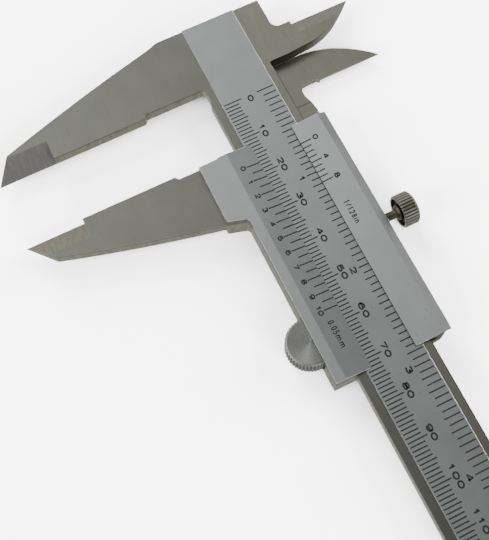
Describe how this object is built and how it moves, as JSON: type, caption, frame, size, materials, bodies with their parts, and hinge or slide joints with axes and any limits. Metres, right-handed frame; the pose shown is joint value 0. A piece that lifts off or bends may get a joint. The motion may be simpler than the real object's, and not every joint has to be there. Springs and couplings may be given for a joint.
{
  "type": "vernier caliper",
  "caption": "Sliding caliper with outside and inside jaws, depth rod, millimetre and inch scales, clamp screw and thumb roller.",
  "frame": {"origin": "bottom centre of the bounding box, with the slider's back on the ground plane", "axes": "+X along the beam towards its tail and the depth rod, +Y towards the inside jaws, +Z out of the graduated front face"},
  "size_m": [0.3074, 0.098, 0.008],
  "materials": {
    "jaw_steel": "ground and brushed stainless steel, with a satin chromed scale strip",
    "satin_chrome": "satin chrome",
    "bronze": "rolled phosphor bronze",
    "screw_steel": "turned steel, darkened",
    "roller_steel": "turned steel with a spun face",
    "rod_steel": "drawn stainless steel"
  },
  "bodies": {
    "beam": {"main_beam": "jaw_steel", "end_stop": "screw_steel", "end_stop_screws": "screw_steel"},
    "slider": {"slider_frame": "satin_chrome", "gib": "bronze", "gib_screws": "screw_steel", "roller_axle": "screw_steel", "back_cover": "satin_chrome", "back_cover_screws": "screw_steel", "depth_rod": "rod_steel", "depth_rod_rivets": "rod_steel"},
    "roller": {"thumb_roller": "roller_steel"},
    "shoe": {"clamp_shoe": "bronze"},
    "screw": {"clamp_screw": "screw_steel"}
  },
  "joints": [
    {"name": "slider_slide", "type": "slide", "parent": "beam", "child": "slider", "axis": [1, 0, 0], "range_m": [-0.01746, 0.18254]},
    {"name": "roller_spin", "type": "hinge", "parent": "slider", "child": "roller", "pos_m": [-0.06843, -0.00085, 0.00355], "axis": [0, 0, 1], "continuous": true},
    {"name": "shoe_feed", "type": "slide", "parent": "slider", "child": "shoe", "axis": [0, 1, 0], "range_m": [-0.00025, 0.00045]},
    {"name": "screw_turn", "type": "hinge", "parent": "shoe", "child": "screw", "pos_m": [-0.08743, 0.03395, 0.00405], "axis": [0, 1, 0], "range_deg": [-201, 361]}
  ],
  "couplings": [
    {"joint": "roller_spin", "follows": "slider_slide", "rad_per_m": 176.99},
    {"joint": "screw_turn", "follows": "shoe_feed", "rad_per_m": 13963}
  ]
}
